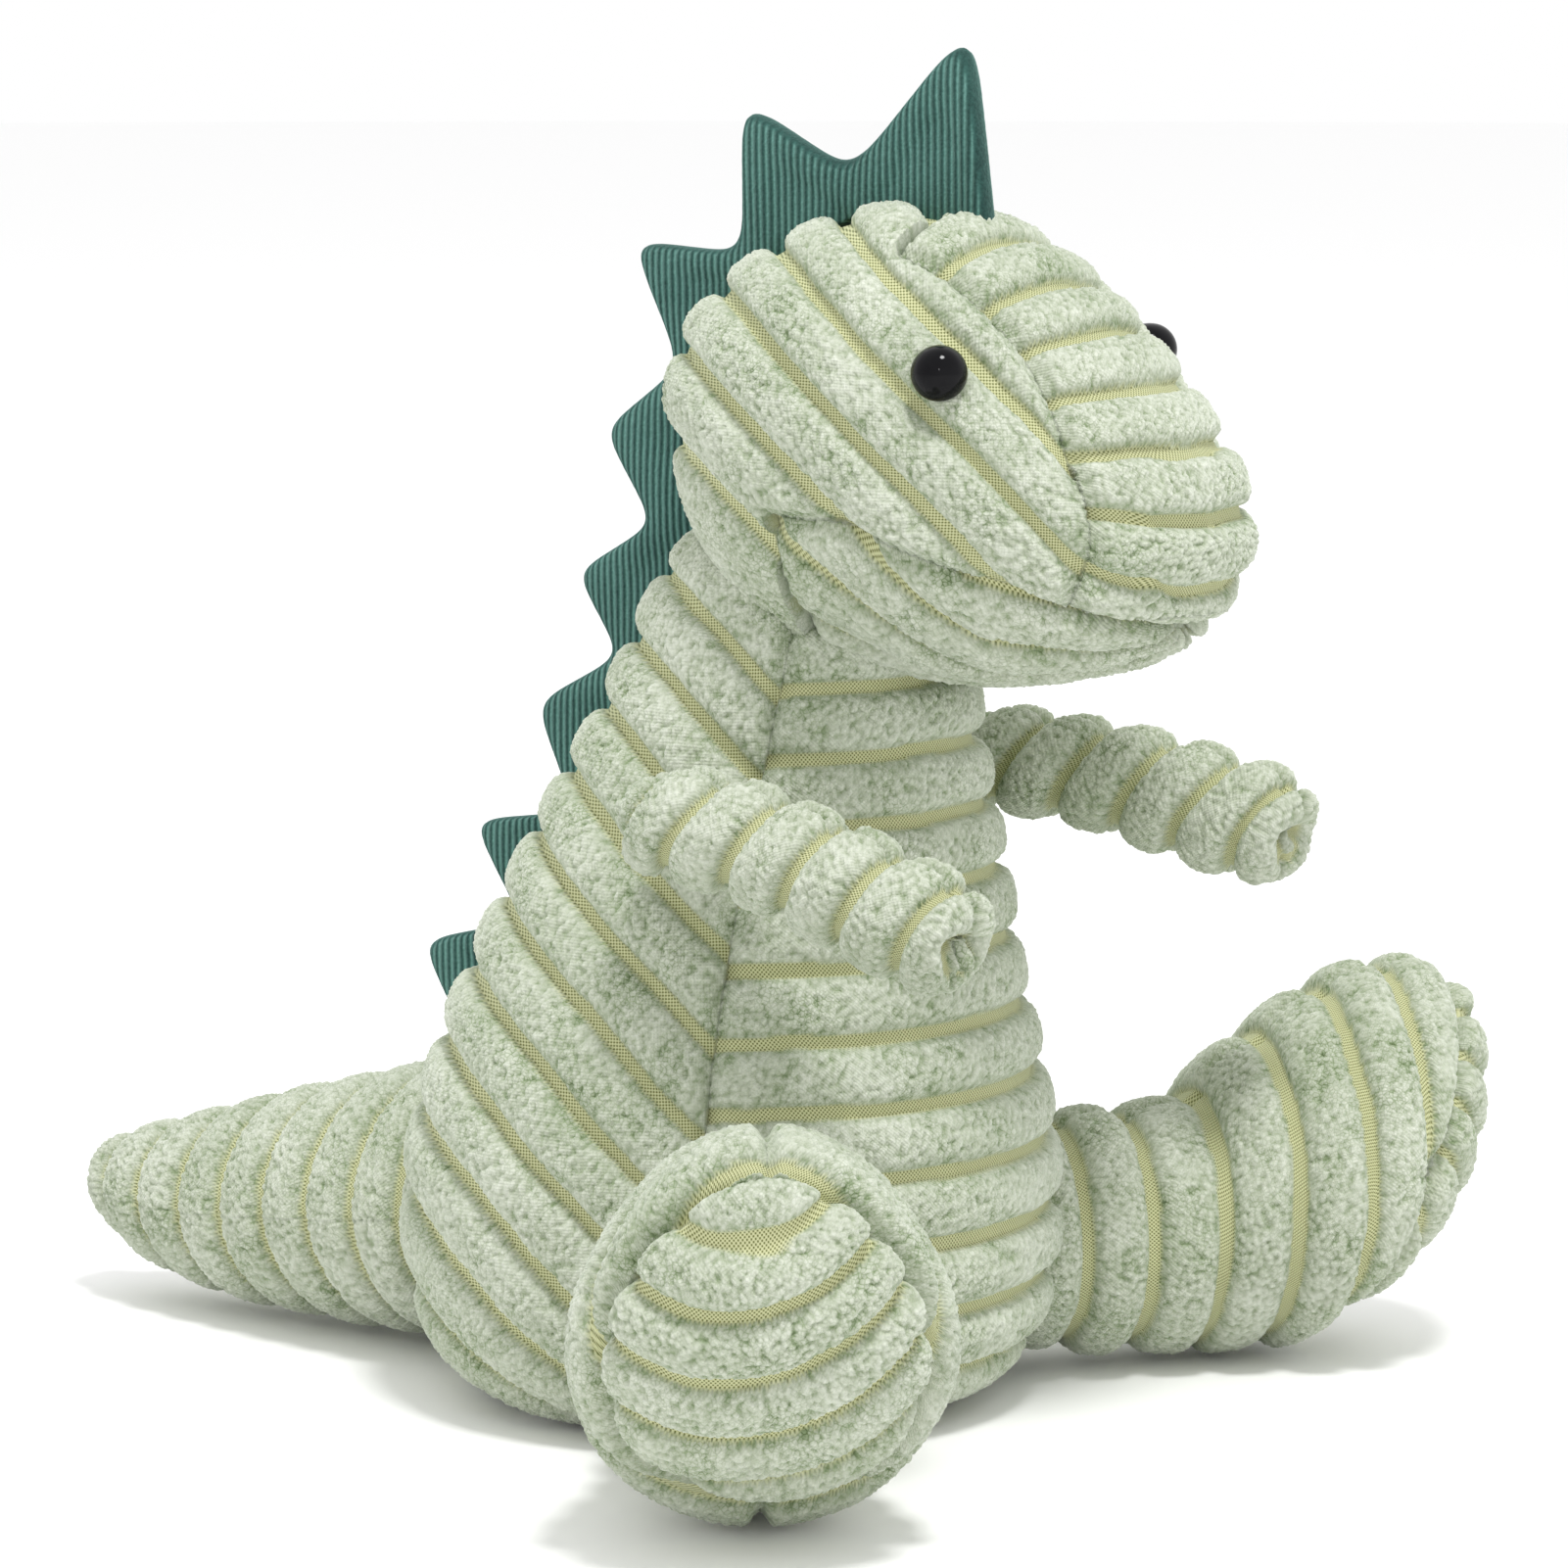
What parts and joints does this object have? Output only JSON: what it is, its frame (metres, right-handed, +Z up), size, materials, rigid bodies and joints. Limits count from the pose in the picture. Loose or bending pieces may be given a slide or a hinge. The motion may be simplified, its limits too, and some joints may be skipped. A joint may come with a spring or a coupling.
{
  "type": "stuffed dinosaur",
  "caption": "Sitting stuffed dinosaur of ribbed plush with a spiked corduroy crest, stub arms, splayed legs, a tapered tail and bead eyes.",
  "frame": {"origin": "middle of the footprint on the surface the toy sits on", "axes": "+Z up, the toy faces -Y, its left side is +X"},
  "size_m": [0.3086, 0.3163, 0.2943],
  "materials": {
    "plush_cover": "wide-rib plush, sage green",
    "corduroy_crest": "fine-wale corduroy, teal",
    "fibre_filling": "polyester fibre stuffing",
    "pellet_bag": "plain woven bag",
    "eye_gloss": "polished black",
    "washer_plastic": "natural"
  },
  "bodies": {
    "torso": {"body_side_right": "plush_cover", "body_side_left": "plush_cover", "belly_panel": "plush_cover", "seat_panel": "plush_cover", "body_fill": "fibre_filling", "pellet_pouch": "pellet_bag", "crest_back": "corduroy_crest"},
    "head": {"head_side_right": "plush_cover", "head_side_left": "plush_cover", "head_top_gusset": "plush_cover", "chin_panel": "plush_cover", "head_fill": "fibre_filling", "crest_head": "corduroy_crest", "eye_right": "eye_gloss", "eye_left": "eye_gloss", "eye_washer_right": "washer_plastic", "eye_washer_left": "washer_plastic"},
    "tail": {"tail_cover": "plush_cover", "tail_fill": "fibre_filling"},
    "arm_right": {"arm_outer_right": "plush_cover", "arm_inner_right": "plush_cover", "arm_fill_right": "fibre_filling"},
    "arm_left": {"arm_outer_left": "plush_cover", "arm_inner_left": "plush_cover", "arm_fill_left": "fibre_filling"},
    "leg_right": {"leg_outer_right": "plush_cover", "leg_inner_right": "plush_cover", "sole_right": "plush_cover", "leg_fill_right": "fibre_filling"},
    "leg_left": {"leg_outer_left": "plush_cover", "leg_inner_left": "plush_cover", "sole_left": "plush_cover", "leg_fill_left": "fibre_filling"}
  },
  "joints": [
    {"name": "neck_nod", "type": "hinge", "parent": "torso", "child": "head", "pos_m": [0, -0.04791, 0.182], "axis": [1, 0, 0], "range_deg": [-5, 8]},
    {"name": "arm_right_swing", "type": "hinge", "parent": "torso", "child": "arm_right", "pos_m": [-0.062, -0.05845, 0.137], "axis": [0.9397, 0, 0.342], "range_deg": [-50, 22]},
    {"name": "arm_left_swing", "type": "hinge", "parent": "torso", "child": "arm_left", "pos_m": [0.062, -0.05845, 0.137], "axis": [0.9397, 0, -0.342], "range_deg": [-50, 22]},
    {"name": "leg_right_splay", "type": "hinge", "parent": "torso", "child": "leg_right", "pos_m": [-0.03625, -0.05677, 0.033], "axis": [0, 0, 1], "range_deg": [-14, 14]},
    {"name": "leg_left_splay", "type": "hinge", "parent": "torso", "child": "leg_left", "pos_m": [0.03625, -0.05677, 0.033], "axis": [0, 0, 1], "range_deg": [-14, 14]},
    {"name": "tail_wag", "type": "hinge", "parent": "torso", "child": "tail", "pos_m": [0, 0.01355, 0.038], "axis": [0, 0, 1], "range_deg": [-12, 12]}
  ]
}
